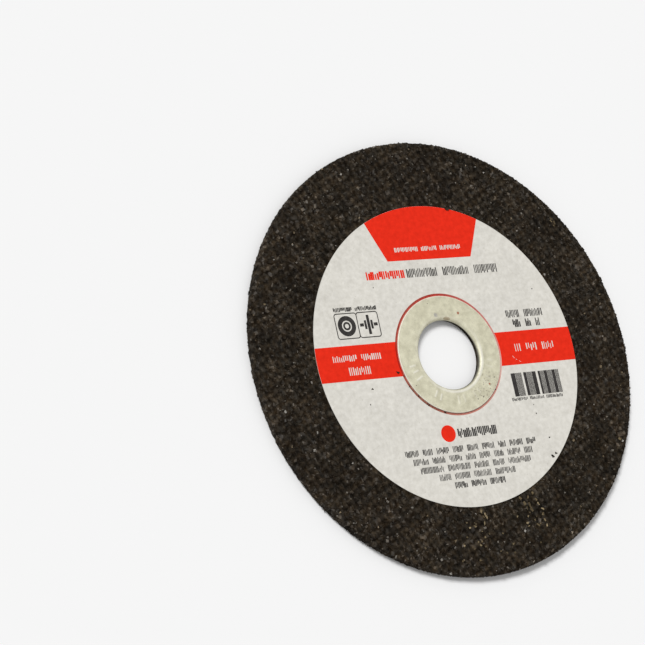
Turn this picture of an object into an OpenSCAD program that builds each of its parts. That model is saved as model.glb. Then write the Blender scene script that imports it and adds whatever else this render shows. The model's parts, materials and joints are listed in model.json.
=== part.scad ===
// Flat resin-bonded cut-off wheel for a small angle grinder.
// It lies on its plain back, label up. The origin is the centre of the back face, with +Z along the bore.
// The label and the ring are pressed into the face when the disc is moulded, so each has a bed there.

/* [Abrasive disc] */
// Outside diameter of the disc
wheel_d = 100; // [80:1:125]
// Thickness of the disc
wheel_t = 2; // [1:0.1:3.2]
// Rounding of the disc's two outer corners
rim_round = 0.25; // [0.1:0.05:0.45]

/* [Paper label] */
// Outside diameter of the label
label_d = 69.4; // [50:0.2:76]
// Thickness of the paper
label_t = 0.12; // [0.08:0.01:0.2]
// Depth that the label is pressed into the face
label_sink = 0.08; // [0.02:0.01:0.15]

/* [Arbor ring] */
// Diameter of the bore, which takes the arbor
bore_d = 16; // [10:0.5:22.2]
// Outside diameter of the ring's flange
flange_d = 27; // [23:0.5:36]
// Thickness of the ring's sheet metal
ring_t = 0.35; // [0.25:0.05:0.5]
// Radius of the bend from the flange into the bore, on its outer side
bend_round = 0.7; // [0.55:0.05:1]
// Rounding of the flange's outer top edge
flange_edge_round = 0.12; // [0.05:0.01:0.2]
// Depth that the flange presses the label below its own level
flange_sink = 0.2; // [0.05:0.05:0.4]
// Length of the collar's straight wall, below the bend
collar_l = 0.2; // [0.1:0.05:1.4]

/* [Fits] */
// Gap between the collar and the disc's hole
collar_fit = 0.05; // [0.02:0.01:0.15]
// Gap between the label's edge and the wall of its bed
label_fit = 0.05; // [0.02:0.01:0.2]
// Gap from the flange's edge to where the label rises again
flange_margin = 0.2; // [0.1:0.05:0.5]
// Width of the slope on which the label rises from under the flange
label_rise = 0.4; // [0.2:0.1:1]
// Gap between the ring's bend and the label's hole
label_hole_gap = 0.1; // [0.05:0.05:1]

/* [Hidden] */
$fn = 180;
// Segments in a full turn of the small roundings
round_fn = 48;

wheel_r = wheel_d / 2;
label_r = label_d / 2;
bore_r = bore_d / 2;
flange_r = flange_d / 2;

// Levels, from the face down to the flange's seat and up to the ring's top
label_bed_z = wheel_t - label_sink;
seat_z = label_bed_z - flange_sink;
flange_z = seat_z + label_t;
ring_top_z = flange_z + ring_t;
// Level where the bend becomes the straight collar
collar_top_z = ring_top_z - bend_round;

// Radii, from the bore outwards
collar_r = bore_r + ring_t;
disc_hole_r = collar_r + collar_fit;
bend_r = bore_r + bend_round;
label_hole_r = bend_r + label_hole_gap;
seat_r = flange_r + flange_margin;
rise_r = seat_r + label_rise;
label_bed_r = label_r + label_fit;

// One quarter of a round bar's section, in the quadrant that sx and sy give
module quarter(r, sx, sy) {
    intersection() {
        circle(r, $fn = round_fn);
        translate([sx < 0 ? -r : 0, sy < 0 ? -r : 0]) square(r);
    }
}

// Section of the plain moulded blank, from the hole to the rounded rim
module blank_section() {
    flat_r = wheel_r - rim_round;
    translate([disc_hole_r, 0]) square([flat_r - disc_hole_r, wheel_t]);
    translate([flat_r, rim_round]) square([rim_round, wheel_t - 2 * rim_round]);
    translate([flat_r, rim_round]) quarter(rim_round, 1, -1);
    translate([flat_r, wheel_t - rim_round]) quarter(rim_round, 1, 1);
}

// Section of what the label and the ring press out of the blank's face
module pressed_section() {
    above_z = wheel_t + ring_t;
    polygon([
        [0, collar_top_z], [disc_hole_r, collar_top_z], [bend_r, seat_z], [seat_r, seat_z],
        [rise_r, label_bed_z], [label_bed_r, label_bed_z], [label_bed_r, above_z], [0, above_z]
    ]);
}

// Section of the flanged ring: collar, bend and flange of one sheet
module ring_section() {
    edge_r = flange_r - flange_edge_round;
    edge_z = ring_top_z - flange_edge_round;
    translate([bore_r, collar_top_z - collar_l]) square([ring_t, collar_l]);
    translate([bend_r, collar_top_z]) difference() {
        quarter(bend_round, -1, 1);
        circle(bend_round - ring_t, $fn = round_fn);
    }
    translate([bend_r, flange_z]) square([edge_r - bend_r, ring_t]);
    translate([edge_r, flange_z]) square([flange_edge_round, edge_z - flange_z]);
    translate([edge_r, edge_z]) quarter(flange_edge_round, 1, 1);
}

// Moulded disc of abrasive grain in resin, with the beds of the label and the ring in its face
module abrasive_disc() {
    color([0.16, 0.14, 0.12])
        rotate_extrude() difference() {
            blank_section();
            pressed_section();
        }
}

// Round paper label, pushed down to the flange's seat round the bore
module paper_label() {
    color([0.87, 0.855, 0.82])
        rotate_extrude() polygon([
            [label_hole_r, seat_z], [seat_r, seat_z], [rise_r, label_bed_z], [label_r, label_bed_z],
            [label_r, label_bed_z + label_t], [rise_r, label_bed_z + label_t],
            [seat_r, seat_z + label_t], [label_hole_r, seat_z + label_t]
        ]);
}

// Drawn sheet-metal ring that lines the upper end of the bore and clamps the label
module arbor_ring() {
    color([0.81, 0.79, 0.69])
        rotate_extrude() ring_section();
}

abrasive_disc();
paper_label();
arbor_ring();
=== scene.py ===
import json
import math

import bpy
import numpy as np
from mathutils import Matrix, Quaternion, Vector, geometry, noise


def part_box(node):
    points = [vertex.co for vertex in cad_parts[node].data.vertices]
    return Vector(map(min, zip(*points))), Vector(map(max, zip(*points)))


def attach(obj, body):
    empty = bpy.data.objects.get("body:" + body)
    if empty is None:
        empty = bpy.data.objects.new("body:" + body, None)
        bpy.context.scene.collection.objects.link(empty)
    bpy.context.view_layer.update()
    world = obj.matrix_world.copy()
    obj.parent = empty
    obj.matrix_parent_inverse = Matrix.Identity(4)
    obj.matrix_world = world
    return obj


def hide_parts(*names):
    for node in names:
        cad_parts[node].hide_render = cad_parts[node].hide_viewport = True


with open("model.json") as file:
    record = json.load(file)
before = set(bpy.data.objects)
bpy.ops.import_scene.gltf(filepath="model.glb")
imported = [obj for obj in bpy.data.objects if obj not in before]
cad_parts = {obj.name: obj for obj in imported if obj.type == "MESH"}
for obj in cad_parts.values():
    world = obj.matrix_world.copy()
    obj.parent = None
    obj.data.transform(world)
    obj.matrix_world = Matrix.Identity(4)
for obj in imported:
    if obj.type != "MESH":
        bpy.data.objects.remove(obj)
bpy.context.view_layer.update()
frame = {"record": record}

MM = 0.001
BODY = "root"


def node_box(node):
    """Lowest and highest corner of a CAD node, in millimetres."""
    low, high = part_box(node)
    return np.array(low) / MM, np.array(high) / MM


# Sizes that the frame gives
_, disc_high = node_box("abrasive_disc")
label_low, label_high = node_box("paper_label")
ring_low, ring_high = node_box("arbor_ring")
mounts = {m["name"]: m for m in frame["record"]["mounts"]}
WHEEL_R = disc_high[0]
WHEEL_T = disc_high[2]
LABEL_R = label_high[0]
LABEL_TOP = label_high[2]
SEAT_Z = label_low[2]
FLANGE_R = ring_high[0]
RING_TOP = ring_high[2]
COLLAR_Z = ring_low[2]
BORE_R = mounts["arbor_bore"]["dims"]["r_mm"]

# Sizes of the sheet metal, the paper and the fits, as in the solids
SHEET_T = 0.35
BEND_ROUND = 0.7
FLANGE_EDGE = 0.12
PAPER_T = 0.12
RIM_ROUND = 0.25
FLANGE_MARGIN = 0.2
LABEL_RISE = 0.4
LABEL_HOLE_GAP = 0.1
LABEL_FIT = 0.05
COLLAR_FIT = 0.05

LABEL_BED_Z = LABEL_TOP - PAPER_T
SEAT_TOP = SEAT_Z + PAPER_T
SEAT_R = FLANGE_R + FLANGE_MARGIN
RISE_R = SEAT_R + LABEL_RISE
BEND_R = BORE_R + BEND_ROUND
COLLAR_R = BORE_R + SHEET_T
COLLAR_TOP = RING_TOP - BEND_ROUND
DISC_HOLE_R = COLLAR_R + COLLAR_FIT
LABEL_HOLE_R = BEND_R + LABEL_HOLE_GAP
LABEL_BED_R = LABEL_R + LABEL_FIT

# Camera, fitted to the outlines of the rim, label, flange and bore
CAMERA_AT = (-292.02, -92.09, 405.76)
CAMERA_AIM = (-29.71, 10.03, -0.08)
CAMERA_ROLL_DEG = 60.15
CAMERA_LENS = 127.1
CAMERA_CLIP_M = (0.01, 20.0)
SENSOR = 36.0

# Light. The world and the key lamp together light a level surface at about 1.
WORLD_FILL = 0.45
BACKDROP = 0.93
KEY_FROM = (-0.45, 0.5, 0.74)
KEY_STRENGTH = 2.3
KEY_ANGLE_DEG = 20
FLOOR_COLOUR = (0.93, 0.93, 0.93, 1)
FLOOR_HALF = 3000.0
FLOOR_DROP = 0.01


# Mesh helpers

# Fewest points in a turned ring, and the gap between rows of even triangles against their sides
LEAST_RING_POINTS = 48
ROW_GAP = 0.87
# Slack for telling which points lie on a face
SLACK = 1e-6


def mesh_piece(name, points, triangles, material, sharp_deg=40):
    """A piece made of triangles, from points in millimetres. It rides on the part's one body.
    It is shaded smooth, apart from edges that bend more than the sharp angle."""
    mesh = bpy.data.meshes.new(name)
    mesh.vertices.add(len(points))
    mesh.vertices.foreach_set("co", (np.asarray(points) * MM).astype(np.float32).ravel())
    mesh.loops.add(3 * len(triangles))
    mesh.loops.foreach_set("vertex_index", np.asarray(triangles, np.int32).ravel())
    mesh.polygons.add(len(triangles))
    mesh.polygons.foreach_set("loop_start", np.arange(0, 3 * len(triangles), 3, dtype=np.int32))
    mesh.update()
    mesh.validate()
    mesh.polygons.foreach_set("use_smooth", np.full(len(mesh.polygons), sharp_deg > 0))
    if sharp_deg > 0:
        mesh.set_sharp_from_angle(angle=math.radians(sharp_deg))
    mesh.materials.append(material)
    piece = bpy.data.objects.new(name, mesh)
    bpy.context.scene.collection.objects.link(piece)
    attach(piece, BODY)
    return piece


def stitched(first_a, count_a, first_b, count_b):
    """Triangles between two closed rings of points that start at the same angle."""
    step = np.concatenate([np.arange(1, count_a + 1) / count_a, np.arange(1, count_b + 1) / count_b])
    on_a = np.arange(count_a + count_b) < count_a
    order = np.argsort(step, kind="stable")
    on_a = on_a[order]
    i = np.cumsum(on_a) - on_a
    j = np.cumsum(~on_a) - ~on_a
    here_a = first_a + i % count_a
    here_b = first_b + j % count_b
    next_a = first_a + (i + 1) % count_a
    next_b = first_b + (j + 1) % count_b
    return np.stack([here_a, np.where(on_a, next_a, next_b), here_b], axis=1)


def revolved(profile):
    """A closed turned shape: points, outward normals and triangles.
    The profile goes round its section with the solid on its left, as (radius, height, spacing)."""
    profile = np.array(profile)
    counts = np.maximum(LEAST_RING_POINTS, np.round(2 * math.pi * profile[:, 0] / profile[:, 2])).astype(int)
    firsts = np.concatenate([[0], np.cumsum(counts)[:-1]])
    along = np.roll(profile, -1, axis=0) - np.roll(profile, 1, axis=0)
    out = np.stack([along[:, 1], -along[:, 0]], axis=1)
    out /= np.linalg.norm(out, axis=1, keepdims=True)
    points, normals, triangles = [], [], []
    for k, (r, z, _) in enumerate(profile):
        angle = 2 * math.pi * np.arange(counts[k]) / counts[k]
        c, s = np.cos(angle), np.sin(angle)
        points.append(np.stack([r * c, r * s, np.full_like(c, z)], axis=1))
        normals.append(np.stack([out[k, 0] * c, out[k, 0] * s, np.full_like(c, out[k, 1])], axis=1))
        after = (k + 1) % len(profile)
        triangles.append(stitched(firsts[k], counts[k], firsts[after], counts[after]))
    return np.concatenate(points), np.concatenate(normals), np.concatenate(triangles)


def straight(start, end, step, spacing):
    """Profile points from start up to, but not at, end."""
    n = max(1, round(math.dist(start, end) / step))
    return [
        (start[0] + (end[0] - start[0]) * k / n, start[1] + (end[1] - start[1]) * k / n, spacing)
        for k in range(n)
    ]


def arc(centre, radius, from_deg, to_deg, n, spacing):
    """Profile points round an arc, from its start up to, but not at, its end."""
    turns = [math.radians(from_deg + (to_deg - from_deg) * k / n) for k in range(n)]
    return [(centre[0] + radius * math.cos(t), centre[1] + radius * math.sin(t), spacing) for t in turns]


# Material helpers. The id_data of a socket or a shader is the node tree that it belongs to.

# Places of a colour mix's share and two colours among its inputs, and of the colour it gives
MIX_INPUTS = (0, 6, 7)
MIX_OUTPUT = 2


def feed(socket, value):
    """Feeds a socket from another one, or sets it to a plain value."""
    if isinstance(value, bpy.types.NodeSocket):
        socket.id_data.links.new(value, socket)
    else:
        socket.default_value = value


def add_node(tree, kind, inputs, **settings):
    """Outputs of a new shader node with those settings, whose inputs are fed by name or place."""
    node = tree.nodes.new(kind)
    for key, value in settings.items():
        setattr(node, key, value)
    for key, value in inputs.items():
        feed(node.inputs[key], value)
    return node.outputs


def new_material(name):
    """A material, its Principled shader, and the row frame's coordinates in millimetres."""
    material = bpy.data.materials.new(name)
    material.use_nodes = True
    tree = material.node_tree
    where = scaled(add_node(tree, "ShaderNodeTexCoord", {})["Object"], 1 / MM)
    return material, tree.nodes["Principled BSDF"], where


def scaled(vector, share):
    """A place or a colour times a share."""
    inputs = {0: vector, "Scale": share}
    return add_node(vector.id_data, "ShaderNodeVectorMath", inputs, operation="SCALE")[0]


def noise_map(where, size, detail=2.0, rough=0.5):
    """Noise from 0 to 1 with features of about that size in millimetres."""
    inputs = {"Vector": where, "Scale": 1 / size, "Detail": detail, "Roughness": rough}
    return add_node(where.id_data, "ShaderNodeTexNoise", inputs)["Fac"]


def ramp(value, stops):
    """A colour ramp from (place, linear colour) stops."""
    node = value.id_data.nodes.new("ShaderNodeValToRGB")
    elements = node.color_ramp.elements
    while len(elements) < len(stops):
        elements.new(1.0)
    for element, (place, colour) in zip(elements, stops):
        element.position = place
        element.color = (*colour, 1)
    feed(node.inputs["Fac"], value)
    return node.outputs["Color"]


def level(value, low, high, to_low=0.0, to_high=1.0):
    """A value mapped from one range to another, and held there."""
    inputs = {"Value": value, "From Min": low, "From Max": high, "To Min": to_low, "To Max": to_high}
    return add_node(value.id_data, "ShaderNodeMapRange", inputs, clamp=True)["Result"]


def blend_colours(share, a, b):
    """Colour b over colour a by a share. Each colour is a socket or a linear colour."""
    colours = [(*c, 1) if isinstance(c, tuple) else c for c in (a, b)]
    inputs = dict(zip(MIX_INPUTS, (share, *colours)))
    return add_node(share.id_data, "ShaderNodeMix", inputs, data_type="RGBA")[MIX_OUTPUT]


def combined(operation, a, b):
    """Two values put together by a sum, a product or the like. The second may be a plain number."""
    return add_node(a.id_data, "ShaderNodeMath", {0: a, 1: b}, operation=operation)[0]


def vector_math(operation, vector, other=(0, 0, 0)):
    """Outputs of a vector operation on a place or a colour and, where it takes one, another vector."""
    return add_node(vector.id_data, "ShaderNodeVectorMath", {0: vector, 1: other}, operation=operation)


def toward(where, direction):
    """How far a place lies in a direction, times the direction's length."""
    return vector_math("DOT_PRODUCT", where, direction)["Value"]


def axes(where):
    """A place's X, Y and Z, by name."""
    return add_node(where.id_data, "ShaderNodeSeparateXYZ", {0: where})


def axis_distance(where):
    """Distance of a place from the wheel's axis."""
    return vector_math("LENGTH", vector_math("MULTIPLY", where, (1, 1, 0))["Vector"])["Value"]


def dress(shader, colour, rough, specular):
    """Gives a shader its colour, roughness and specular level, each from a socket or a plain value."""
    for key, value in (("Base Color", colour), ("Roughness", rough), ("Specular IOR Level", specular)):
        feed(shader.inputs[key], value)


def bump(shader, height, depth, strength=1.0, below=None):
    """Bump of that depth in millimetres, over another bump if one is given."""
    inputs = {"Strength": strength, "Distance": depth * MM, "Height": height}
    if below is not None:
        inputs["Normal"] = below
    normal = add_node(shader.id_data, "ShaderNodeBump", inputs)["Normal"]
    feed(shader.inputs["Normal"], normal)
    return normal


# Materials

# Shades of each material, as stops of a colour ramp
RESIN_SHADES = (
    (0.15, (0.0085, 0.0055, 0.0027)), (0.5, (0.0197, 0.0144, 0.0089)), (0.9, (0.040, 0.0315, 0.022)),
)
TINT_SHADES = ((0.35, (0.84, 0.905, 1.0)), (0.65, (0.98, 0.915, 0.82)))
GRAIN_SHADES = (
    (0.0, (0.015, 0.0110, 0.0070)), (0.35, (0.027, 0.0215, 0.0153)), (0.65, (0.040, 0.0327, 0.0248)),
    (0.85, (0.060, 0.0497, 0.039)), (0.95, (0.083, 0.0695, 0.0555)), (1.0, (0.11, 0.0925, 0.074)),
)
BARE_GRAIN_SHADES = (
    (0.0, (0.080, 0.068, 0.054)), (0.5, (0.135, 0.116, 0.094)), (0.72, (0.21, 0.19, 0.163)),
    (0.82, (0.34, 0.32, 0.29)), (0.86, (0.15, 0.108, 0.06)), (1.0, (0.21, 0.155, 0.085)),
)
THREAD_SHADES = ((0.0, (0.07, 0.052, 0.028)), (0.6, (0.17, 0.127, 0.067)), (1.0, (0.34, 0.265, 0.155)))
PAPER_SHADES = ((0.3, (0.645, 0.622, 0.563)), (0.7, (0.775, 0.752, 0.692)))
RED_INK_SHADES = ((0.3, (0.71, 0.022, 0.007)), (0.7, (0.865, 0.029, 0.010)))
BLACK_INK_SHADES = ((0.3, (0.026, 0.024, 0.023)), (0.7, (0.052, 0.048, 0.045)))
PRINTED_CIRCLE_SHADES = ((0.3, (0.36, 0.036, 0.026)), (0.7, (0.62, 0.08, 0.058)))
RING_SHADES = ((0.28, (0.50, 0.475, 0.345)), (0.72, (0.72, 0.695, 0.535)))
# Colours of coats, stains, flecks, rust and changes in the ink, and of the ring's painted highlight and
# painted shade
RESIN_COAT = (0.009, 0.006, 0.003)
GRAIN_STAIN = (0.03, 0.024, 0.018)
THREAD_STAIN = (0.03, 0.022, 0.012)
PAPER_FIBRE = (0.45, 0.42, 0.37)
PAPER_FLECK = (0.36, 0.32, 0.26)
PALE_INK = (0.74, 0.60, 0.54)
BROWNED_INK = (0.25, 0.19, 0.12)
DARKER_INK = (0.16, 0.14, 0.10)
BAND_INK = (0.46, 0.017, 0.008)
DARK_PATCH_INKS = ((0.29, 0.105, 0.072), (0.04, 0.011, 0.010))
RING_PORE = (0.40, 0.375, 0.29)
RING_SPECK = (0.22, 0.18, 0.13)
# Painted highlight on the ring's lip, flange edge and stamped strokes
PAINTED_HIGHLIGHT = (0.82, 0.80, 0.73)
DENT_GREY = (0.40, 0.385, 0.34)
# Painted shade on the ring's wall in the bore
BORE_SHADE = (0.030, 0.027, 0.022)
PALE_RUST = (0.33, 0.25, 0.15)
RED_RUST = (0.34, 0.12, 0.06)
DARK_DOT = (0.16, 0.14, 0.11)

# Woven glass net pressed into the disc's faces: each thread set's pitch, and the direction across it
NET_THREADS = ((1.6, 26.5), (1.755, 115.5))


def own_shade(where):
    """A number from 0 to 1 that differs from grain to grain."""
    return add_node(where.id_data, "ShaderNodeNewGeometry", {})["Random Per Island"]


def clumps(where):
    """Uneven resin over the grains: a share from 0, dark, to 1, light, with spots of about a millimetre."""
    return level(noise_map(where, 1.0), 0.3, 0.7)


def net_shade(where):
    """How light the disc is: lighter along the net's threads than in its openings, and patchy."""
    waves = []
    for pitch, turn_deg in NET_THREADS:
        turn = math.radians(turn_deg)
        wave_number = 2 * math.pi / pitch
        across = toward(where, (wave_number * math.cos(turn), wave_number * math.sin(turn), 0))
        waves.append(add_node(where.id_data, "ShaderNodeMath", {0: across}, operation="COSINE")[0])
    net = level(combined("ADD", *waves), -2.0, 2.0, 0.6, 1.6)
    patches = level(noise_map(where, 5.0, 2.0, 0.55), 0.3, 0.7, 0.58, 1.42)
    return combined("MULTIPLY", net, patches)


def tinted(where, colour):
    """A colour that is cooler in some spots of a millimetre or so, and warmer in others."""
    tint = ramp(noise_map(where, 1.3), TINT_SHADES)
    return vector_math("MULTIPLY", colour, tint)["Vector"]


def abrasive_material():
    """Dark resin between the grains: brown-black, mottled, nearly matt."""
    material, shader, where = new_material("abrasive_resin")
    clump = clumps(where)
    colour = tinted(where, ramp(clump, RESIN_SHADES))
    rough = level(clump, 0.0, 1.0, 0.85, 0.6)
    dress(shader, scaled(colour, net_shade(where)), rough, 0.05)
    bump(shader, noise_map(where, 0.16, 3.0, 0.6), 0.06)
    return material


def grain_material():
    """Angular grains that the resin coats dark, each of its own shade."""
    material, shader, where = new_material("abrasive_grain")
    own = own_shade(where)
    coated = level(clumps(where), 0.1, 0.8, 0.5, 0.0)
    colour = tinted(where, blend_colours(coated, ramp(own, GRAIN_SHADES), RESIN_COAT))
    rough = level(own, 0.5, 1.0, 0.65, 0.4)
    dress(shader, scaled(colour, net_shade(where)), rough, 0.06)
    return material


def bare_grain_material():
    """Grains and bits of glass thread with no resin on them: grey, white or tan."""
    material, shader, where = new_material("bare_grain")
    stain = noise_map(where, 0.15, 2.0, 0.6)
    colour = ramp(own_shade(where), BARE_GRAIN_SHADES)
    colour = blend_colours(level(stain, 0.45, 0.75, 0.0, 0.7), colour, GRAIN_STAIN)
    dress(shader, colour, level(stain, 0.3, 0.7, 0.3, 0.6), 0.35)
    return material


def thread_material():
    """Glass thread with resin on it: tan, stained in places."""
    material, shader, where = new_material("bare_thread")
    stain = level(noise_map(where, 0.3, 2.0, 0.6), 0.46, 0.66, 0.0, 0.7)
    colour = blend_colours(stain, ramp(own_shade(where), THREAD_SHADES), THREAD_STAIN)
    dress(shader, colour, 0.6, 0.15)
    return material


def paper_texture(where):
    """Unevenness of about a millimetre from the grain under the paper, and the paper's own fine tooth."""
    return noise_map(where, 1.1, 4.0, 0.6), noise_map(where, 0.12, 2.0, 0.6)


def paper_material():
    """Uncoated off-white paper, mottled where it lies on the grain, with a few faint flecks."""
    material, shader, where = new_material("label_paper")
    mottle, fibre = paper_texture(where)
    fleck = noise_map(where, 0.45)
    broad = noise_map(where, 4.5)
    colour = ramp(mottle, PAPER_SHADES)
    colour = scaled(colour, level(broad, 0.3, 0.7, 0.96, 1.04))
    colour = blend_colours(level(fibre, 0.35, 0.65, 0.0, 0.07), colour, PAPER_FIBRE)
    colour = blend_colours(level(fleck, 0.66, 0.78, 0.0, 0.35), colour, PAPER_FLECK)
    dress(shader, colour, 0.8, 0.15)
    below = bump(shader, mottle, 0.06, 0.6)
    bump(shader, fibre, 0.012, 0.5, below)
    return material


def ink_material(name, shades):
    """Printing ink with the paper's tooth in it."""
    material, shader, where = new_material(name)
    mottle, fibre = paper_texture(where)
    dress(shader, ramp(mottle, shades), level(fibre, 0.3, 0.7, 0.55, 0.75), 0.08)
    below = bump(shader, mottle, 0.05, 0.6)
    bump(shader, fibre, 0.01, 0.5, below)
    return material


def spot(where, centre, radius, ragged):
    """A round mark's share, 1 at its centre and 0 past its ragged edge."""
    apart = vector_math("DISTANCE", where, centre)["Value"]
    apart = combined("ADD", apart, combined("MULTIPLY", ragged, radius))
    return level(apart, 1.1 * radius, 1.7 * radius, 1.0, 0.0)


# The printed circle's changes of colour: the way towards which it grows lighter, and the middle and size of
# two stretches
LIGHTER_SIDE = (0.94, -0.34, 0)
ON_RED_BAND = ((-14.0, 0, LABEL_TOP), 4.2)
DARK_STRETCH = ((-9.8, -9.6, LABEL_TOP), 5.5)


def printed_circle_material():
    """Red ink of the circle round the flange: lighter to the right, browned below, and darker to the left and
    in a dark patchy stretch at the lower left.
    """
    material, shader, where = new_material("red_circle_ink")
    along = axes(where)
    to_lighter_side = toward(where, LIGHTER_SIDE)
    patchy = noise_map(where, 0.5, 3.0, 0.6)
    # A dark patchy stretch at the lower left, mixed from two inks
    dark_patch = blend_colours(level(patchy, 0.53, 0.6), *DARK_PATCH_INKS)
    colour = ramp(patchy, PRINTED_CIRCLE_SHADES)
    # The ink grows lighter towards the right, browner towards the bottom and darker towards the left
    for share, wear in (
        (level(to_lighter_side, -5.0, 13.2, 0.0, 0.38), PALE_INK),
        (level(to_lighter_side, 13.0, 13.9, 0.0, 0.35), PALE_INK),
        (level(along["Y"], -2.0, -11.0, 0.0, 0.3), BROWNED_INK),
        (level(along["X"], 2.0, -10.0, 0.0, 0.22), DARKER_INK),
        (spot(where, *ON_RED_BAND, patchy), BAND_INK),
        (spot(where, *DARK_STRETCH, patchy), dark_patch),
    ):
        colour = blend_colours(share, colour, wear)
    dress(shader, colour, level(patchy, 0.3, 0.7, 0.55, 0.75), 0.08)
    return material


# Marks on the ring: places and sizes. Rust at the bore has only X, because it lies on one radius.
RUST_AT_BORE_R = 8.28
RUST_AT_BORE_Z = RING_TOP - 0.2
RUST_AT_BORE = ((0.7, 0.26), (1.2, 0.5), (1.75, 0.4), (2.15, 0.22))
RUST_DOTS = (((4.7, 9.2, RING_TOP), 0.33), ((8.87, -7.63, RING_TOP), 0.24))
DARK_DOTS = (
    ((-10.7, -6.4, RING_TOP), 0.14), ((10.6, -6.2, RING_TOP), 0.16), ((-3.0, 11.9, RING_TOP), 0.12),
    ((4.89, -10.79, RING_TOP), 0.16), ((6.49, -10.37, RING_TOP), 0.19),
)
GREY_DENT = (-1.43, 9.12, RING_TOP)
GREY_DENT_SIZE = 0.52
SPECKLED = ((7.6, -8.4, RING_TOP), 4.2)
# The side of the bore where the painted highlight on the lip is strongest and the painted shade reaches up
# the wall
LOWER_RIGHT = (0.57, -0.82, 0)
# Radii over which the painted highlight on the lip begins and ends, and those over which the one on the
# flange's edge begins
LIP_BEGINS = (8.3, 8.5)
LIP_ENDS = (8.8, 9.1)
EDGE_BEGINS = (FLANGE_R - 0.2, FLANGE_R - 0.08)
# Levels over which the stamped strokes and their painted highlight begin, and those over which the painted
# shade in the bore ends
STROKES_BEGIN = (RING_TOP + 0.005, RING_TOP + 0.05)
BORE_SHADE_ENDS = (COLLAR_TOP + 0.2, COLLAR_TOP + 0.65)


def painted_highlight_shares(where, along):
    """How much painted highlight the ring gets round its lip, most at the lower right, at the flange's edge,
    and on the stamped strokes, more to the left.
    """
    radius = axis_distance(where)
    lip = level(radius, *LIP_BEGINS)
    lip = combined("MULTIPLY", lip, level(radius, *LIP_ENDS, 1.0, 0.0))
    lip = combined("MULTIPLY", lip, level(toward(where, LOWER_RIGHT), 0.0, 6.0, 0.1, 0.6))
    edge = level(radius, *EDGE_BEGINS, 0.0, 0.6)
    stroke = level(along["Z"], *STROKES_BEGIN)
    stroke = combined("MULTIPLY", stroke, level(along["X"], -5.0, 3.0, 0.5, 0.2))
    return lip, edge, stroke


def bore_shade_share(where, height, grain):
    """How far painted shade darkens the ring's wall in the bore, up to a ragged line that is higher at the
    lower right.
    """
    ragged = combined("ADD", height, level(grain, 0.3, 0.7, -0.06, 0.06))
    ragged = combined("ADD", ragged, level(toward(where, LOWER_RIGHT), 0.5, 6.5, 0.5, 0.0))
    return level(ragged, *BORE_SHADE_ENDS, 0.88, 0.0)


def ring_material():
    """Dull plated sheet steel, pale straw, clouded and speckled, with specks of rust.
    It has painted highlights round the lip, on the stamped strokes and at the flange's edge, and
    painted shade darkens its wall in the bore."""
    material, shader, where = new_material("ring_metal")
    along = axes(where)
    cloud = noise_map(where, 1.7, 4.0, 0.62)
    grain = noise_map(where, 0.22, 3.0, 0.65)
    specks = level(noise_map(where, 0.4), 0.56, 0.66, 0.0, 0.6)
    marks = [
        (level(grain, 0.55, 0.72, 0.0, 0.35), RING_PORE),
        (combined("MULTIPLY", spot(where, *SPECKLED, cloud), specks), RING_SPECK),
    ]
    # Painted highlights round the lip, at the flange's edge and on the stamped strokes
    marks += [(share, PAINTED_HIGHLIGHT) for share in painted_highlight_shares(where, along)]
    marks.append((spot(where, GREY_DENT, GREY_DENT_SIZE, grain), DENT_GREY))
    # Painted shade on the ring's wall in the bore, reaching highest at the lower right
    marks.append((bore_shade_share(where, along["Z"], grain), BORE_SHADE))
    for x, size in RUST_AT_BORE:
        place = (x, math.sqrt(RUST_AT_BORE_R ** 2 - x * x), RUST_AT_BORE_Z)
        marks.append((combined("MULTIPLY", spot(where, place, size, grain), 0.7), PALE_RUST))
    marks += [(spot(where, *dot, grain), RED_RUST) for dot in RUST_DOTS]
    marks += [(spot(where, *dot, grain), DARK_DOT) for dot in DARK_DOTS]
    colour = ramp(cloud, RING_SHADES)
    for share, mark in marks:
        colour = blend_colours(share, colour, mark)
    dress(shader, colour, level(grain, 0.3, 0.7, 0.5, 0.68), 0.5)
    shader.inputs["Metallic"].default_value = 0.5
    bump(shader, grain, 0.018, 0.5)
    return material


def floor_material():
    """Plain pale floor with no shine."""
    material, shader, _ = new_material("floor")
    dress(shader, FLOOR_COLOUR, 1.0, 0.0)
    return material


# Abrasive disc

GRAIN_SIZE = 0.62
GRAIN_RELIEF = 0.2
# How far a grain's lump reaches in its cell, its least height, and the finer roughness over it
LUMP_REACH = 0.85
LEAST_LUMP = 0.35
FINE_SIZE = 0.3
FINE_SHARE = 0.28
# Relief that lies at the solid's own surface, on the faces and on the rim
FACE_LEVEL = 1.0
RIM_LEVEL = 1.1
# Height of the net's imprint
NET_RISE = 0.08
# Spacing of points where the disc shows, on its back, and where the label and the ring hide it
SHOWN_STEP = 0.33
BACK_STEP = 0.46
HIDDEN_STEP = 2.5
SHOULDER_STEP = 0.8
# Strips that stay smooth: beside the label and at the hole
LABEL_STRIP = 0.1
HOLE_STRIP = 0.2
FLAT_R = WHEEL_R - RIM_ROUND


def cell_random(point):
    """A number from 0 to 1 that belongs to one noise cell, by a usual formula for scattered numbers."""
    mixed = point.x * 12.9898 + point.y * 78.233 + point.z * 37.719
    return math.sin(mixed) * 43758.5453 % 1.0


def net_rise(flat):
    """Height that the net gives to places on a face: most where its threads cross, least in its openings."""
    total = 0.0
    for pitch, turn_deg in NET_THREADS:
        turn = math.radians(turn_deg)
        across = flat[:, 0] * math.cos(turn) + flat[:, 1] * math.sin(turn)
        total = total + np.cos(2 * math.pi / pitch * across)
    return NET_RISE * total / 4


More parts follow.
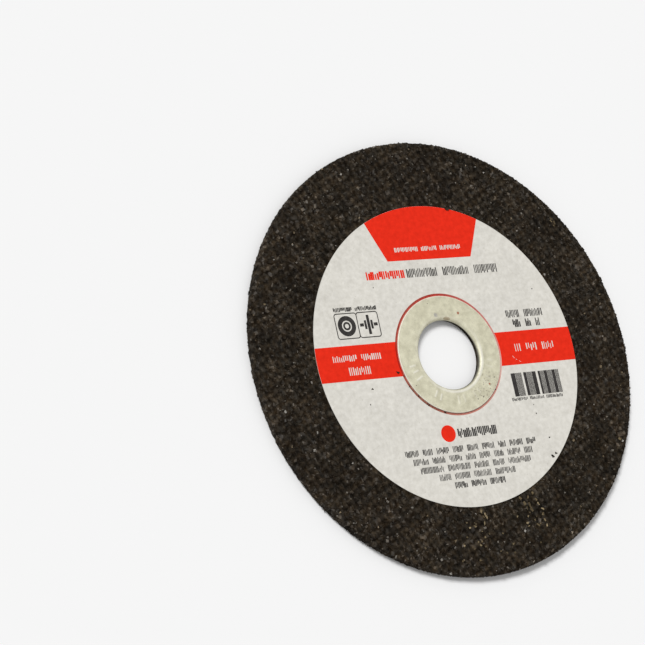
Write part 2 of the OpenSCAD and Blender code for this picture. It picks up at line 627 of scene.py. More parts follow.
def grain_relief(point):
    """Height of the grainy surface at a point, from 0 in the pits to about 1 on the grains."""
    distances, centres = noise.voronoi(Vector(point) / GRAIN_SIZE)
    lump = max(0.0, 1 - (distances[0] / LUMP_REACH) ** 2)
    own = LEAST_LUMP + (1 - LEAST_LUMP) * cell_random(centres[0])
    fine = 0.5 + 0.5 * noise.noise(Vector(point) / FINE_SIZE)
    return (1 - FINE_SHARE) * lump * own + FINE_SHARE * fine


def disc_profile():
    """The disc's section: back, rim, face, the beds of the label and the ring, and the hole."""
    rim_low, rim_high = RIM_ROUND, WHEEL_T - RIM_ROUND
    bed_start = (LABEL_BED_R - 0.5, LABEL_BED_Z)
    hole_start = (DISC_HOLE_R, COLLAR_Z - 0.1)
    profile = straight((DISC_HOLE_R, 0), (FLAT_R, 0), BACK_STEP * ROW_GAP, BACK_STEP)
    profile += arc((FLAT_R, rim_low), RIM_ROUND, -90, 0, 2, SHOWN_STEP)
    profile += straight((WHEEL_R, rim_low), (WHEEL_R, rim_high), SHOWN_STEP * ROW_GAP, SHOWN_STEP)
    profile += arc((FLAT_R, rim_high), RIM_ROUND, 0, 90, 2, SHOWN_STEP)
    profile += straight((FLAT_R, WHEEL_T), (LABEL_BED_R, WHEEL_T), SHOWN_STEP * ROW_GAP, SHOWN_STEP)
    profile += [(LABEL_BED_R, WHEEL_T, SHOWN_STEP), (LABEL_BED_R, LABEL_BED_Z, SHOWN_STEP)]
    profile += straight(bed_start, (RISE_R, LABEL_BED_Z), HIDDEN_STEP, HIDDEN_STEP)
    profile += [(RISE_R, LABEL_BED_Z, HIDDEN_STEP), (SEAT_R, SEAT_Z, HIDDEN_STEP)]
    profile += [(BEND_R, SEAT_Z, HIDDEN_STEP), (DISC_HOLE_R, COLLAR_TOP, SHOULDER_STEP)]
    profile += straight(hole_start, (DISC_HOLE_R, 0), SHOWN_STEP, SHOWN_STEP)
    return profile


def disc_lift(points):
    """How far each point stands out of the disc's plain form: grain where it shows, and the net's imprint."""
    radius, height = np.hypot(points[:, 0], points[:, 1]), points[:, 2]
    on_hole = (radius < DISC_HOLE_R + SLACK) & (height < COLLAR_Z - HOLE_STRIP) & (height > HOLE_STRIP / 2)
    on_back = (height < SLACK) & (radius > DISC_HOLE_R + HOLE_STRIP)
    on_rim = radius > FLAT_R + SLACK
    on_face = (height > WHEEL_T - SLACK) & (radius > LABEL_BED_R + LABEL_STRIP)
    lift = np.zeros(len(points))
    for k in np.nonzero(on_hole | on_back | on_rim | on_face)[0]:
        lift[k] = GRAIN_RELIEF * (grain_relief(points[k]) - (RIM_LEVEL if on_rim[k] else FACE_LEVEL))
    on_flat = (on_back | on_face) & ~on_rim
    lift[on_flat] += net_rise(points[on_flat]) - NET_RISE / 2 * on_back[on_flat]
    return lift


def abrasive_disc(material):
    """The moulded disc: grainy on both faces and the rim, smooth where the label and ring sit."""
    points, normals, triangles = revolved(disc_profile())
    points = points + normals * disc_lift(points)[:, None]
    points[:, 2] = np.maximum(points[:, 2], 0)
    piece = mesh_piece("abrasive_body", points, triangles, material, sharp_deg=75)
    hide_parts("abrasive_disc")


# Grains that stand in the disc's surface

CUBE_CORNERS = np.array([(x, y, z) for x in (-1, 1) for y in (-1, 1) for z in (-1, 1)], float)
CUBE_TRIANGLES = np.array([
    (0, 1, 3), (0, 3, 2), (4, 6, 7), (4, 7, 5), (0, 4, 5), (0, 5, 1),
    (2, 3, 7), (2, 7, 6), (0, 2, 6), (0, 6, 4), (1, 5, 7), (1, 7, 3),
])
# How far grains go past an edge, and the share of a turn that spreads places evenly round the rim
OVERHANG = 0.05
GOLDEN_SHARE = 0.6180339887

FACE_INNER_R = LABEL_BED_R + 0.25
FACE_OUTER_R = WHEEL_R - 0.2
BACK_INNER_R = DISC_HOLE_R + 0.4
RIM_LOW = 0.3
RIM_HIGH = WHEEL_T - 0.25
GRAIN_ROOT = 1.0

# Grains on the face, the back and the rim: spacing or number, usual size, least and most stand, and tilt
FACE_GRAINS = (0.68, 0.7, (-0.06, 0.12), 0.35)
BACK_GRAINS = (0.72, 0.66, (-0.1 - NET_RISE / 2, -NET_RISE / 2), 0.4)
RIM_GRAINS = (5600, 0.52, (-0.1, 0.05), 0.4)
# Pale grains on the face, the back and the rim: their numbers, and how much lower than on the face they stand
BARE_COUNTS = (260, 900, 150)
BARE_DROPS = (0.0, 0.11, 0.06)
BARE_GRAIN_SIZE = 0.42
BARE_GRAIN_STAND = (0.03, 0.11)
BARE_GRAIN_TILT = 0.4


def random_turns(rng, count, tilt):
    """Rotation matrices: any turn about +Z, with a tilt that is small for 0.3 and anything for 1."""
    q = rng.normal(size=(count, 4)) * (1, tilt, tilt, 1)
    q /= np.linalg.norm(q, axis=1, keepdims=True)
    w, x, y, z = q.T
    return np.stack([
        1 - 2 * (y * y + z * z), 2 * (x * y - z * w), 2 * (x * z + y * w),
        2 * (x * y + z * w), 1 - 2 * (x * x + z * z), 2 * (y * z - x * w),
        2 * (x * z - y * w), 2 * (y * z + x * w), 1 - 2 * (x * x + y * y),
    ], axis=1).reshape(-1, 3, 3)


def turned(corners, matrices):
    """Each grain's corners turned by its own matrix."""
    return np.einsum("nij,nkj->nki", matrices, corners)


def cube_triangles(count):
    """Triangles of that many grains, eight corners each."""
    return (CUBE_TRIANGLES[None] + 8 * np.arange(count)[:, None, None]).reshape(-1, 3)


def crystals(rng, places, outward, stand, sizes, tilt=1.0, on_rim=False):
    """Angular closed grains of those sizes across, which lie on a face or on the rim.
    Each one's furthest corner stands that far past its place, in its outward direction."""
    count, stray, stretch = len(places), 0.2, (0.65, 1.2)
    corners = CUBE_CORNERS * 0.5 + rng.uniform(-stray, stray, (count, 8, 3))
    corners *= rng.uniform(*stretch, (count, 1, 3)) * sizes[:, None, None]
    corners = turned(corners, random_turns(rng, count, tilt))
    if on_rim:
        up = pointing(count, 1)
        corners = turned(corners, np.stack([np.cross(up, outward), up, outward], axis=2))
    reach = np.einsum("nki,ni->nk", corners, outward).max(axis=1)
    corners += (places + outward * (stand - reach)[:, None])[:, None, :]
    return corners.reshape(-1, 3), cube_triangles(count)


def scattered(rng, inner_r, outer_r, spacing):
    """Places on a flat ring, spread like a shaken grid."""
    row_gap = spacing * math.sqrt(3) / 2
    rows = math.ceil(outer_r / row_gap)
    half = math.ceil(outer_r / spacing)
    i, j = np.meshgrid(np.arange(-half, half + 1), np.arange(-rows, rows + 1))
    flat = np.stack([(i + 0.5 * (j % 2)).ravel() * spacing, j.ravel() * row_gap], axis=1)
    stray = 0.42
    flat += rng.uniform(-stray, stray, flat.shape) * spacing
    r = np.hypot(*flat.T)
    return flat[(r > inner_r) & (r < outer_r)]


def any_of_ring(rng, inner_r, outer_r, count):
    """Places anywhere on a flat ring."""
    r = np.sqrt(rng.uniform(inner_r ** 2, outer_r ** 2, count))
    angle = rng.uniform(0, 2 * math.pi, count)
    return np.stack([r * np.cos(angle), r * np.sin(angle)], axis=1)


def rim_places(rng, count):
    """Places all round the rim, and the way out of it at each."""
    angle = 2 * math.pi * (np.arange(count) * GOLDEN_SHARE % 1.0)
    out = np.column_stack([np.cos(angle), np.sin(angle), np.zeros(count)])
    return WHEEL_R * out + np.outer(rng.uniform(RIM_LOW, RIM_HIGH, count), (0, 0, 1)), out


def grain_sizes(rng, count, middle):
    """Sizes spread round a usual one, within limits."""
    least, most, spread = 0.5 * middle, 1.6 * middle, 0.3
    return np.clip(middle * np.exp(rng.normal(0, spread, count)), least, most)


def on_level(flat, z):
    """Flat places, put at a height."""
    return np.column_stack([flat, np.full(len(flat), z)])


def pointing(count, z):
    """Directions straight up (1) or down (-1)."""
    return np.tile((0.0, 0.0, z), (count, 1))


def fitting(flat, sizes, inner_r, outer_r):
    """The places and sizes of those grains that stay within a flat ring."""
    r = np.hypot(*flat.T)
    reach_in, reach_out = 0.6 * sizes, 0.7 * sizes
    fits = (r - reach_in > inner_r) & (r + reach_out < outer_r)
    return flat[fits], sizes[fits]


def flat_grains(rng, flat, edge_r, z, side, grains):
    """Points and triangles of grains all over the face (1) or the back (-1), outside an edge."""
    _, size, stands, tilt = grains
    flat, sizes = fitting(flat, grain_sizes(rng, len(flat), size), edge_r, WHEEL_R + OVERHANG)
    count = len(flat)
    stand = rng.uniform(*stands, count) + net_rise(flat)
    return crystals(rng, on_level(flat, z), pointing(count, side), stand, sizes, tilt)


def face_grains(material):
    """Grains all over the face, beside the label."""
    rng = np.random.default_rng(11)
    flat = scattered(rng, FACE_INNER_R, FACE_OUTER_R, FACE_GRAINS[0])
    points, triangles = flat_grains(rng, flat, LABEL_BED_R - OVERHANG, WHEEL_T, 1, FACE_GRAINS)
    points[:, 2] = np.maximum(points[:, 2], WHEEL_T - GRAIN_ROOT)
    mesh_piece("face_grains", points, triangles, material, sharp_deg=0)


def back_grains(material):
    """Grains all over the back, none below the floor."""
    rng = np.random.default_rng(13)
    flat = scattered(rng, BACK_INNER_R, FACE_OUTER_R, BACK_GRAINS[0])
    points, triangles = flat_grains(rng, flat, DISC_HOLE_R, 0, -1, BACK_GRAINS)
    points[:, 2] = np.clip(points[:, 2], 0, GRAIN_ROOT)
    mesh_piece("back_grains", points, triangles, material, sharp_deg=0)


def rim_grains(material):
    """Grains all round the rim."""
    rng = np.random.default_rng(12)
    count, size, stands, tilt = RIM_GRAINS
    places, out = rim_places(rng, count)
    sizes = grain_sizes(rng, count, size)
    points, triangles = crystals(rng, places, out, rng.uniform(*stands, count), sizes, tilt, on_rim=True)
    points[:, 2] = np.clip(points[:, 2], 0, WHEEL_T + OVERHANG)
    mesh_piece("rim_grains", points, triangles, material, sharp_deg=0)


def bare_grains(material):
    """Pale grains, few and small, on both faces and the rim."""
    rng = np.random.default_rng(14)
    on_face, on_back, on_rim = BARE_COUNTS
    face = any_of_ring(rng, FACE_INNER_R, FACE_OUTER_R, on_face)
    back = any_of_ring(rng, BACK_INNER_R, FACE_OUTER_R, on_back)
    rim, out = rim_places(rng, on_rim)
    places = np.concatenate([on_level(face, WHEEL_T), on_level(back, 0), rim])
    outward = np.concatenate([pointing(on_face, 1), pointing(on_back, -1), out])
    stand = rng.uniform(*BARE_GRAIN_STAND, len(places)) - np.repeat(BARE_DROPS, BARE_COUNTS)
    sizes = grain_sizes(rng, len(places), BARE_GRAIN_SIZE)
    points, triangles = crystals(rng, places, outward, stand, sizes, BARE_GRAIN_TILT)
    points[:, 2] = np.maximum(points[:, 2], 0)
    mesh_piece("bare_grains", points, triangles, material, sharp_deg=0)


# Stretches where the glass net's threads show through the resin: start, end and number of bits
BARE_THREADS = (
    ((14.2, -33.0), (16.0, -40.9), 7), ((11.9, -34.2), (13.6, -40.3), 7), ((10.6, -34.2), (12.0, -37.6), 4),
    ((-0.3, -35.6), (0.2, -37.5), 3), ((-1.3, -36.0), (-0.6, -38.6), 3), ((37.1, 29.9), (37.9, 28.3), 4),
    ((41.9, -23.7), (42.1, -23.5), 2),
)
# Middle, spread and number of the bits that lie loose round those stretches
LOOSE_BITS_AT = (4.0, -42.0)
LOOSE_BITS_SPREAD = (13.0, 4.5)
LOOSE_BITS = 34
# Usual length of a bit in a stretch and of a loose one
STRETCH_BIT = 0.8
LOOSE_BIT = 0.4


def thread_bit(rng, place, turn, usual_length):
    """Corners of one short flat bit of thread in the face."""
    length = usual_length * rng.uniform(0.6, 1.1)
    width, thickness, stray = rng.uniform(0.27, 0.5), 0.3, 0.25
    bit = (CUBE_CORNERS * 0.5 + rng.uniform(-stray, stray, (8, 3))) * (length, width, thickness)
    c, s = math.cos(turn), math.sin(turn)
    bit = bit @ np.array([(c, s, 0), (-s, c, 0), (0, 0, 1)])
    top = WHEEL_T + rng.uniform(0.04, 0.12)
    return bit + (*place, top - bit[:, 2].max())


def bare_threads(material):
    """Short bits of glass thread in the face: some along the threads, some loose round them."""
    rng = np.random.default_rng(15)
    bits = []
    for start, end, count in BARE_THREADS:
        along = np.subtract(end, start)
        for share in np.linspace(0, 1, count):
            place = start + share * along + rng.normal(0, 0.22, 2)
            turn = math.atan2(along[1], along[0]) + rng.normal(0, 0.4)
            bits.append(thread_bit(rng, place, turn, STRETCH_BIT))
    inner_r, outer_r = FACE_INNER_R + LOOSE_BIT, FACE_OUTER_R - LOOSE_BIT
    for place in LOOSE_BITS_AT + rng.uniform(-1, 1, (LOOSE_BITS, 2)) * LOOSE_BITS_SPREAD:
        if inner_r < np.hypot(*place) < outer_r:
            bits.append(thread_bit(rng, place, rng.uniform(0, math.pi), LOOSE_BIT))
    points = np.concatenate(bits)
    mesh_piece("bare_threads", points, cube_triangles(len(bits)), material, sharp_deg=0)


# Label and its print

# The paper's waves: height, length of the short and long ones, and widths over which they fade out
PAPER_WAVE = 0.018
SHORT_WAVE = 1.5
LONG_WAVE = 4.0
FADE_AT_RING = 1.0
FADE_AT_EDGE = 0.8
# How far the ink stands on the paper and how deep it goes, and the gap between its points
INK_T = 0.014
INK_SINK = 0.02
INK_GRID = 0.9


def paper_top(x, y):
    """Height of the label's upper side."""
    r = math.hypot(x, y)
    if r < RISE_R:
        return SEAT_TOP + (LABEL_TOP - SEAT_TOP) * min(1, max(0, (r - SEAT_R) / LABEL_RISE))
    fade = min(1, (r - RISE_R) / FADE_AT_RING, max(0.0, (LABEL_R - r) / FADE_AT_EDGE))
    short = noise.noise(Vector((x / SHORT_WAVE, y / SHORT_WAVE, 0)))
    long = noise.noise(Vector((x / LONG_WAVE, y / LONG_WAVE, 5)))
    return LABEL_TOP + PAPER_WAVE * (short * 0.5 + long) * fade


def label_sheet(material):
    """The paper label, a little wavy where it lies on the grain."""
    step, edge_step, hidden = 0.45, 0.15, 2.5
    profile = [(LABEL_HOLE_R, SEAT_Z, hidden), (SEAT_R, SEAT_Z, hidden)]
    profile += straight((RISE_R, LABEL_BED_Z), (LABEL_R, LABEL_BED_Z), hidden, hidden)
    profile += [(LABEL_R, LABEL_BED_Z, step), (LABEL_R, LABEL_TOP, step)]
    profile += straight((LABEL_R - edge_step, LABEL_TOP), (RISE_R, LABEL_TOP), step * ROW_GAP, step)
    profile += [(RISE_R, LABEL_TOP, step), (SEAT_R, SEAT_TOP, step), (LABEL_HOLE_R, SEAT_TOP, hidden)]
    points, _, triangles = revolved(profile)
    for k in np.nonzero(points[:, 2] > LABEL_TOP - SLACK)[0]:
        points[k, 2] = paper_top(*points[k, :2])
    piece = mesh_piece("label_sheet", points, triangles, material, sharp_deg=20)
    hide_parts("paper_label")


def box_loop(x0, x1, y0, y1):
    """A box's corners."""
    return [(x0, y0), (x1, y0), (x1, y1), (x0, y1)]


def circle_loop(x, y, r, n=48):
    """Points round a circle."""
    turns = [2 * math.pi * k / n for k in range(n)]
    return [(x + r * math.cos(t), y + r * math.sin(t)) for t in turns]


def round_box_loop(x0, x1, y0, y1, r, n=6):
    """A box with round corners."""
    left, right, low, high = x0 + r, x1 - r, y0 + r, y1 - r
    loop = []
    for x, y, turn in ((right, low, -90), (right, high, 0), (left, high, 90), (left, low, 180)):
        turns = [math.radians(turn + 90 * k / n) for k in range(n + 1)]
        loop += [(x + r * math.cos(t), y + r * math.sin(t)) for t in turns]
    return loop


def arc_points(r, from_rad, to_rad, step=0.4):
    """Points along an arc round the wheel's axis."""
    n = max(2, math.ceil(abs(to_rad - from_rad) * r / step))
    turns = [from_rad + (to_rad - from_rad) * k / n for k in range(n + 1)]
    return [(r * math.cos(t), r * math.sin(t)) for t in turns]


def subdivided(loop, step):
    """The same loop with points added along its long edges."""
    places = []
    for a, b in zip(loop, loop[1:] + loop[:1]):
        n = max(1, math.ceil(math.dist(a, b) / step))
        places += [(a[0] + (b[0] - a[0]) * k / n, a[1] + (b[1] - a[1]) * k / n) for k in range(n)]
    return places


def ink_triangles(fields, cuts, grid):
    """Flat places and triangles that fill the fields, apart from the cuts. They bend where the paper does."""
    places, faces, folds = [], [], []
    for loop in [subdivided(loop, grid) for loop in fields + cuts]:
        faces.append(list(range(len(places), len(places) + len(loop))))
        places += [Vector(p) for p in loop]
    for r in (SEAT_R, RISE_R):
        first, loop = len(places), circle_loop(0, 0, r, 180)
        folds += [(first + k, first + (k + 1) % len(loop)) for k in range(len(loop))]
        places += [Vector(p) for p in loop]
    corners = np.array([p for loop in fields for p in loop])
    low, high = corners.min(axis=0), corners.max(axis=0)
    for x in np.arange(low[0], high[0], grid):
        for y in np.arange(low[1], high[1], grid):
            places.append(Vector((x + 0.013, y + 0.017)))
    flat, _, triangles, _, _, inside = geometry.delaunay_2d_cdt(places, folds, faces, 1, 1e-5)
    kept = []
    for triangle, owners in zip(triangles, inside):
        if any(o < len(fields) for o in owners) and sum(o >= len(fields) for o in owners) % 2 == 0:
            kept.append(triangle)
    return flat, kept


def ink_piece(name, fields, cuts, material, grid=INK_GRID):
    """Thin printed shapes that follow the paper. Cuts leave the paper bare inside the fields."""
    flat, kept = ink_triangles(fields, cuts, grid)
    used = sorted({k for t in kept for k in t})
    place_of = {k: n for n, k in enumerate(used)}
    top = np.array([(flat[k].x, flat[k].y, paper_top(flat[k].x, flat[k].y)) for k in used])
    kept = np.array([[place_of[k] for k in t] for t in kept])
    count = len(used)
    edges = np.concatenate([kept[:, [0, 1]], kept[:, [1, 2]], kept[:, [2, 0]]])
    known = {tuple(e) for e in edges.tolist()}
    rim = np.array([e for e in known if (e[1], e[0]) not in known])
    rim = rim[np.lexsort(rim.T)]
    sides = np.concatenate([
        np.stack([rim[:, 1], rim[:, 0], rim[:, 0] + count], axis=1),
        np.stack([rim[:, 1], rim[:, 0] + count, rim[:, 1] + count], axis=1),
    ])
    points = np.concatenate([top + (0, 0, INK_T), top - (0, 0, INK_SINK)])
    triangles = np.concatenate([kept, kept[:, ::-1] + count, sides])
    mesh_piece(name, points, triangles, material, sharp_deg=20)


# Usual way from stroke to stroke, against a stroke's width
STROKE_PITCH = 2.1


def strokes(rng, x0, x1, y0, y1, words, stroke, weight):
    """A row of plain upright strokes in word-long groups, between those edges."""
    loops = []
    height = y1 - y0
    word_gap = 0.75 * height
    shares = rng.uniform(0.7, 1.5, words)
    x = x0
    for length in shares / shares.sum() * (x1 - x0 - (words - 1) * word_gap):
        n = max(2, round(length / (STROKE_PITCH * stroke)))
        pitch = length / n
        for k in range(n):
            cut = height * rng.choice([0.0, 0.0, 0.18, 0.3])
            low = rng.random() < 0.5
            left = x + k * pitch
            right = left + weight * pitch * rng.uniform(0.75, 1.25)
            loops.append(box_loop(left, right, y0 + cut * low, y1 - cut * (not low)))
        x += length + word_gap
    return loops


# Printed circle round the flange, a little off the ring's centre
PRINT_CIRCLE_R = 14.06
PRINT_CIRCLE_AT = (-0.06, 0.02)
# The red segment's lower corners, and places where its sides meet the label's edge
HEAD_FEET = [(-10.92, 22.2), (11.77, 22.2)]
HEAD_LEFT = (-15.1, 31.6)
HEAD_RIGHT = (15.75, 31.1)
# Side of each red band, right (1) or left (-1), with its lower and upper edge
BANDS = ((1, -3.83, 3.99), (-1, -4.01, 3.85))
BAND_LEVELS = 24
PRINT_R = LABEL_R - 0.015
# A small red disc, and scratches in the right band: start, and way to the end
RED_DISC = (-5.0, -17.8, 1.9)
SCRATCHES = ((16.95, -1.75, 0.5, -0.6), (17.75, -2.6, 0.3, -0.15), (18.6, -3.05, 0.4, -0.2))

# Rows: left, right, lower and upper edge, number of words, a stroke's width, and its weight in its pitch
RED_ROW = (-17.4, -7.1, 18.2, 20.05, 1, 0.27, 0.76)
BARE_ROWS = (
    (-8.5, 9.6, 24.2, 25.25, 3, 0.2, 0.62),
    (-30.5, -17.9, 0.35, 1.75, 2, 0.26, 0.55),
    (-27.0, -21.2, -2.8, -1.0, 1, 0.26, 0.48),
    (18.2, 29.4, -0.75, 1.0, 3, 0.28, 0.46),
)
BLACK_ROWS = (
    (-6.6, 18.4, 18.2, 20.2, 3, 0.21, 0.55),
    (-27.8, -16.6, 11.5, 12.45, 2, 0.18, 0.74),
    (17.8, 28.2, 7.2, 8.95, 2, 0.2, 0.6),
    (19.2, 26.9, 4.9, 6.7, 3, 0.2, 0.72),
    (-2.5, 8.2, -19.0, -16.95, 1, 0.23, 0.7),
)
# Rows of small strokes: middle, left and right edge, number of words and weight
SMALL_ROWS = (
    (-21.41, -17.4, 18.0, 9, 0.64), (-23.38, -15.7, 16.6, 8, 0.6), (-25.37, -14.3, 15.6, 5, 0.56),
    (-27.36, -9.8, 10.8, 4, 0.54), (-29.38, -6.2, 7.4, 3, 0.7),
)
SMALL_ROW_HALF = 0.7
SMALL_STROKE = 0.17

# Bars: left, lower and upper edge. Each group has a broad bar's width, the number of fine bars after
# it, and the gap behind them.
BARS_AT = (15.3, -11.15, -5.75)
BAR_GROUPS = ((1.2, 7, 0.5), (0.8, 6, 0.0), (1.1, 0, 0.55), (0.6, 4, 0.0), (0.9, 5, 0.0), (0.9, 4, 0.0))
FINE_BAR = 0.17
FINE_GAP = 0.08
ROW_UNDER_BARS = (14.2, 28.6, -12.15, -11.4, 3, 0.18, 0.6)

# The two framed boxes: their upright lines, lower and upper edge, line width and corner rounding
FRAME_X = (-28.0, -22.2, -16.6)
FRAME_Y = (5.3, 11.2)
FRAME_LINE = 0.22
FRAME_CORNER = 0.7
# Circles in the left box, and bars in the right one: left and right edge, and half their height
WHEEL_CIRCLES = (2.3, 1.25, 0.95, 0.5)
WHEEL_BARS = ((-0.35, 0.35, 2.2), (-1.1, -0.55, 1.0), (0.55, 1.1, 1.0), (1.3, 2.3, 0.35), (-2.3, -1.3, 0.35))


def circle_x(side, y):
    """Where the printed circle crosses a level, on the right (1) or the left (-1)."""
    return PRINT_CIRCLE_AT[0] + side * math.sqrt(PRINT_CIRCLE_R ** 2 - (y - PRINT_CIRCLE_AT[1]) ** 2)


def red_fields():
    """The red segment at the top, and the two bands from the label's edge to the printed circle."""
    from_turn, to_turn = math.atan2(HEAD_RIGHT[1], HEAD_RIGHT[0]), math.atan2(HEAD_LEFT[1], HEAD_LEFT[0])
    fields = [HEAD_FEET + arc_points(PRINT_R, from_turn, to_turn)]
    for side, low, high in BANDS:
        levels = np.linspace(low, high, BAND_LEVELS)
        outer = [(side * math.sqrt(PRINT_R ** 2 - y ** 2), y) for y in levels]
        inner = [(circle_x(side, y), y) for y in levels[::-1]]
        fields.append((outer + inner)[::side])
    return fields


def red_print(material):
    """Red fields, a row and a disc, with rows and scratches that leave the paper bare."""
    rng = np.random.default_rng(21)
    fields = red_fields() + strokes(rng, *RED_ROW) + [circle_loop(*RED_DISC)]
    cuts = []
    for row in BARE_ROWS:
        cuts += strokes(rng, *row)
    for x, y, dx, dy in SCRATCHES:
        cuts.append([(x, y), (x + dx, y + dy), (x + dx + 0.05, y + dy + 0.05), (x + 0.1, y + 0.12)])
    ink_piece("label_red_print", fields, cuts, material)


def red_circle(material):
    """Printed circle that shows round the flange. It is too narrow to need points inside it."""
    fields = [circle_loop(*PRINT_CIRCLE_AT, PRINT_CIRCLE_R, 220)]
    cuts = [circle_loop(0, 0, FLANGE_R + 0.01, 180)]
    ink_piece("label_red_circle", fields, cuts, material, grid=60.0)


def upright_bars(x, y0, y1):
    """Plain upright bars, broad and fine, from a place on the left."""
    bars = []
    for broad, fine_count, gap in BAR_GROUPS:
        for width in [broad] + [FINE_BAR] * fine_count:
            bars.append(box_loop(x, x + width, y0, y1))
            x += width + FINE_GAP
        x += gap
    return bars


def picture_boxes():
    """Two framed boxes with plain shapes: a wheel from the front, and one edge-on with its clamps."""
    x0, x1, x2 = FRAME_X
    y0, y1 = FRAME_Y
    middle_y, left_x, right_x = (y0 + y1) / 2, (x0 + x1) / 2, (x1 + x2) / 2
    line = FRAME_LINE
    fields, cuts = [], []
    for left, right in ((x0, x1 + line / 2), (x1 - line / 2, x2)):
        fields.append(round_box_loop(left, right, y0, y1, FRAME_CORNER))
        cuts.append(round_box_loop(left + line, right - line, y0 + line, y1 - line, FRAME_CORNER - line))
    cuts += [circle_loop(left_x, middle_y, r) for r in WHEEL_CIRCLES]
    for left, right, half in WHEEL_BARS:
        cuts.append(box_loop(right_x + left, right_x + right, middle_y - half, middle_y + half))
    return fields, cuts


def black_print(material):
    """Black rows, the two framed boxes and the bars."""
    rng = np.random.default_rng(22)
    fields, cuts = picture_boxes()
    for row in BLACK_ROWS:
        fields += strokes(rng, *row)
    for y, x0, x1, words, weight in SMALL_ROWS:
        fields += strokes(rng, x0, x1, y - SMALL_ROW_HALF, y + SMALL_ROW_HALF, words, SMALL_STROKE, weight)
    fields += upright_bars(*BARS_AT)
    fields += strokes(rng, *ROW_UNDER_BARS)
    ink_piece("label_black_print", fields, cuts, material)


# Places of loose grains that lie on the label, with their sizes
LABEL_DUST = (
    (22.0, -21.3, 0.45), (21.7, -25.6, 0.75), (22.9, -25.0, 0.7), (19.8, -13.4, 0.33), (19.95, -15.4, 0.3),
    (-22.1, -6.2, 0.5), (-23.4, -9.6, 0.36), (-14.55, -3.16, 0.85), (8.3, 33.65, 0.7), (7.9, 33.9, 0.5),
    (-13.2, -4.0, 0.36), (-12.4, -6.5, 0.34), (-8.6, -11.0, 0.42), (-4.6, -13.1, 0.46), (-11.9, 7.2, 0.3),
    (10.4, -9.0, 0.3), (11.1, -7.85, 0.28), (-16.2, 16.4, 0.22), (26.8, 13.6, 0.25), (-6.4, 27.0, 0.2),
)
# Share of its size that a loose grain stands above the paper
DUST_STAND = 0.42


def label_dust(material):
    """Loose grains on the label."""
    rng = np.random.default_rng(23)
    places = np.array([(x, y, paper_top(x, y)) for x, y, _ in LABEL_DUST])
    sizes = np.array([size for _, _, size in LABEL_DUST])
    points, triangles = crystals(rng, places, pointing(len(places), 1), DUST_STAND * sizes, sizes)
    mesh_piece("label_dust", points, triangles, material, sharp_deg=0)


# Arbor ring

# Stamped strokes: inner and outer radius, width, width of their slopes, height, and angle between two
STAMP_R = (9.5, 11.6)
STAMP_WIDTH = 0.4
STAMP_SLOPE = 0.26
STAMP_RISE = 0.055
STAMP_PITCH_DEG = 8.2
# How much shorter a stroke may be at each end, and how far it may turn
STAMP_CUT = 0.45
STAMP_STRAY_DEG = 0.6
# Where each group of stamped strokes starts, in degrees, and how many it has
STAMP_GROUPS = ((190.5, 3), (235, 2), (268.5, 2), (294, 2), (318, 2), (340, 2))
DENT_DEPTH = 0.05
DENT_R = 0.45


def stamped_strokes():
    """Each stamped stroke's turn and its inner and outer radius, all a little uneven."""
    rng = np.random.default_rng(31)
    uneven = []
    for start_deg, count in STAMP_GROUPS:
        for k in range(count):
            inner_cut, outer_cut = rng.uniform(0, STAMP_CUT, 2)
            turn_deg = start_deg + STAMP_PITCH_DEG * k + rng.uniform(-STAMP_STRAY_DEG, STAMP_STRAY_DEG)
            uneven.append((math.radians(turn_deg), STAMP_R[0] + inner_cut, STAMP_R[1] - outer_cut))
    return uneven


def ring_relief(x, y, stamps):
    """Height of the flange's upper side over its own level: stamped radial strokes and one dent."""
    rise = 0.0
    for turn, inner_r, outer_r in stamps:
        along = x * math.cos(turn) + y * math.sin(turn)
        off = abs(y * math.cos(turn) - x * math.sin(turn))
        past = max(off - STAMP_WIDTH / 2, inner_r - along, along - outer_r)
        rise = max(rise, STAMP_RISE * min(1.0, max(0.0, 0.5 - past / STAMP_SLOPE)))
    dent = math.hypot(x - GREY_DENT[0], y - GREY_DENT[1]) / DENT_R
    return rise - DENT_DEPTH * max(0.0, 1 - dent ** 2)


def arbor_ring(material):
    """The drawn ring: collar, bend and flange, with its stamping."""
    fine, medium, foot, hidden = 0.115, 0.2, 0.3, 0.5
    edge_r, edge_z = FLANGE_R - FLANGE_EDGE, RING_TOP - FLANGE_EDGE
    profile = [(BORE_R, COLLAR_Z, hidden), (COLLAR_R, COLLAR_Z, hidden)]
    profile += arc((BEND_R, COLLAR_TOP), BEND_ROUND - SHEET_T, 180, 90, 4, hidden)
    profile += [(BEND_R, SEAT_TOP, hidden), (FLANGE_R, SEAT_TOP, foot)]
    profile += [(FLANGE_R, edge_z, medium)]
    profile += arc((edge_r, edge_z), FLANGE_EDGE, 0, 90, 4, fine)[1:]
    profile += straight((edge_r, RING_TOP), (BEND_R, RING_TOP), fine * ROW_GAP, fine)
    profile += arc((BEND_R, COLLAR_TOP), BEND_ROUND, 90, 180, 10, fine)
    profile += [(BORE_R, COLLAR_TOP, medium)]
    points, _, triangles = revolved(profile)
    stamps = stamped_strokes()
    for k in np.nonzero(points[:, 2] > RING_TOP - SLACK)[0]:
        points[k, 2] += ring_relief(*points[k, :2], stamps)
    piece = mesh_piece("ring_formed", points, triangles, material)
    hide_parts("arbor_ring")


# Camera, floor and light


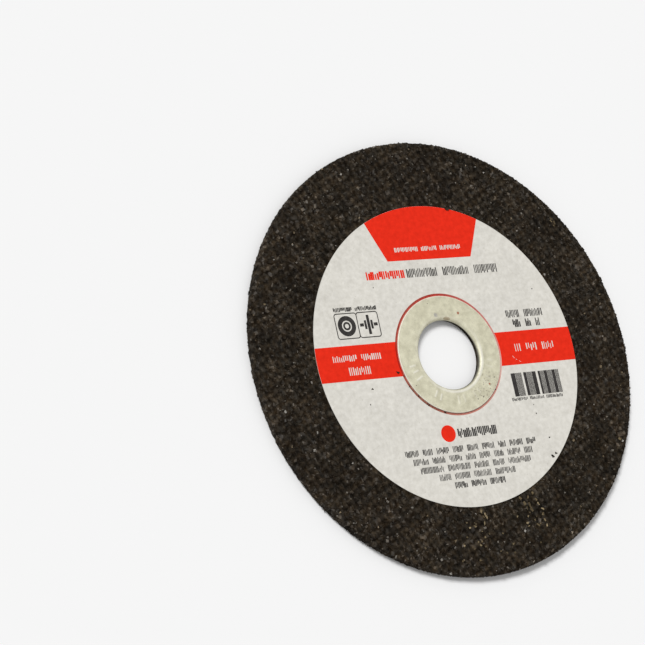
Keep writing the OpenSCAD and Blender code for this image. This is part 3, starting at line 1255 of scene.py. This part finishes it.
def set_camera():
    """The camera that sees the wheel as the photograph does."""
    data = bpy.data.cameras.new("camera")
    data.lens = CAMERA_LENS
    data.sensor_width = SENSOR
    data.clip_start, data.clip_end = CAMERA_CLIP_M
    camera = bpy.data.objects.new("camera", data)
    place, aim = Vector(CAMERA_AT) * MM, Vector(CAMERA_AIM) * MM
    turn = (aim - place).to_track_quat("-Z", "Y")
    camera.rotation_mode = "QUATERNION"
    camera.rotation_quaternion = turn @ Quaternion((0, 0, 1), math.radians(CAMERA_ROLL_DEG))
    camera.location = place
    bpy.context.scene.collection.objects.link(camera)
    bpy.context.scene.camera = camera


def set_floor():
    """A wide floor just below the wheel."""
    half, z = FLOOR_HALF * MM, -FLOOR_DROP * MM
    corners = [(x, y, z) for x, y in box_loop(-half, half, -half, half)]
    mesh = bpy.data.meshes.new("floor")
    mesh.from_pydata(corners, [], [(0, 1, 2, 3)])
    mesh.materials.append(floor_material())
    floor = bpy.data.objects.new("floor", mesh)
    bpy.context.scene.collection.objects.link(floor)


def set_world():
    """White for the camera, reflections and glass, and a plain fill for everything else."""
    world = bpy.data.worlds.new("world")
    bpy.context.scene.world = world
    world.use_nodes = True
    tree = world.node_tree
    background = tree.nodes["Background"]
    background.inputs["Color"].default_value = (1, 1, 1, 1)
    rays = add_node(tree, "ShaderNodeLightPath", {})
    seen = combined("MAXIMUM", rays["Is Camera Ray"], rays["Is Glossy Ray"])
    seen = combined("MAXIMUM", seen, rays["Is Transmission Ray"])
    feed(background.inputs["Strength"], level(seen, 0, 1, WORLD_FILL, BACKDROP))


def set_lamps():
    """One broad key lamp from the upper left."""
    data = bpy.data.lights.new("key", "SUN")
    data.energy = KEY_STRENGTH
    data.angle = math.radians(KEY_ANGLE_DEG)
    lamp = bpy.data.objects.new("key", data)
    lamp.rotation_mode = "QUATERNION"
    lamp.rotation_quaternion = Vector(KEY_FROM).to_track_quat("Z", "Y")
    bpy.context.scene.collection.objects.link(lamp)


bpy.context.scene.view_settings.view_transform = "Standard"
set_camera()
set_floor()
set_world()
set_lamps()

grain = grain_material()
abrasive_disc(abrasive_material())
face_grains(grain)
rim_grains(grain)
back_grains(grain)
bare_grains(bare_grain_material())
bare_threads(thread_material())

label_sheet(paper_material())
red_print(ink_material("red_ink", RED_INK_SHADES))
red_circle(printed_circle_material())
black_print(ink_material("black_ink", BLACK_INK_SHADES))
label_dust(grain)

arbor_ring(ring_material())
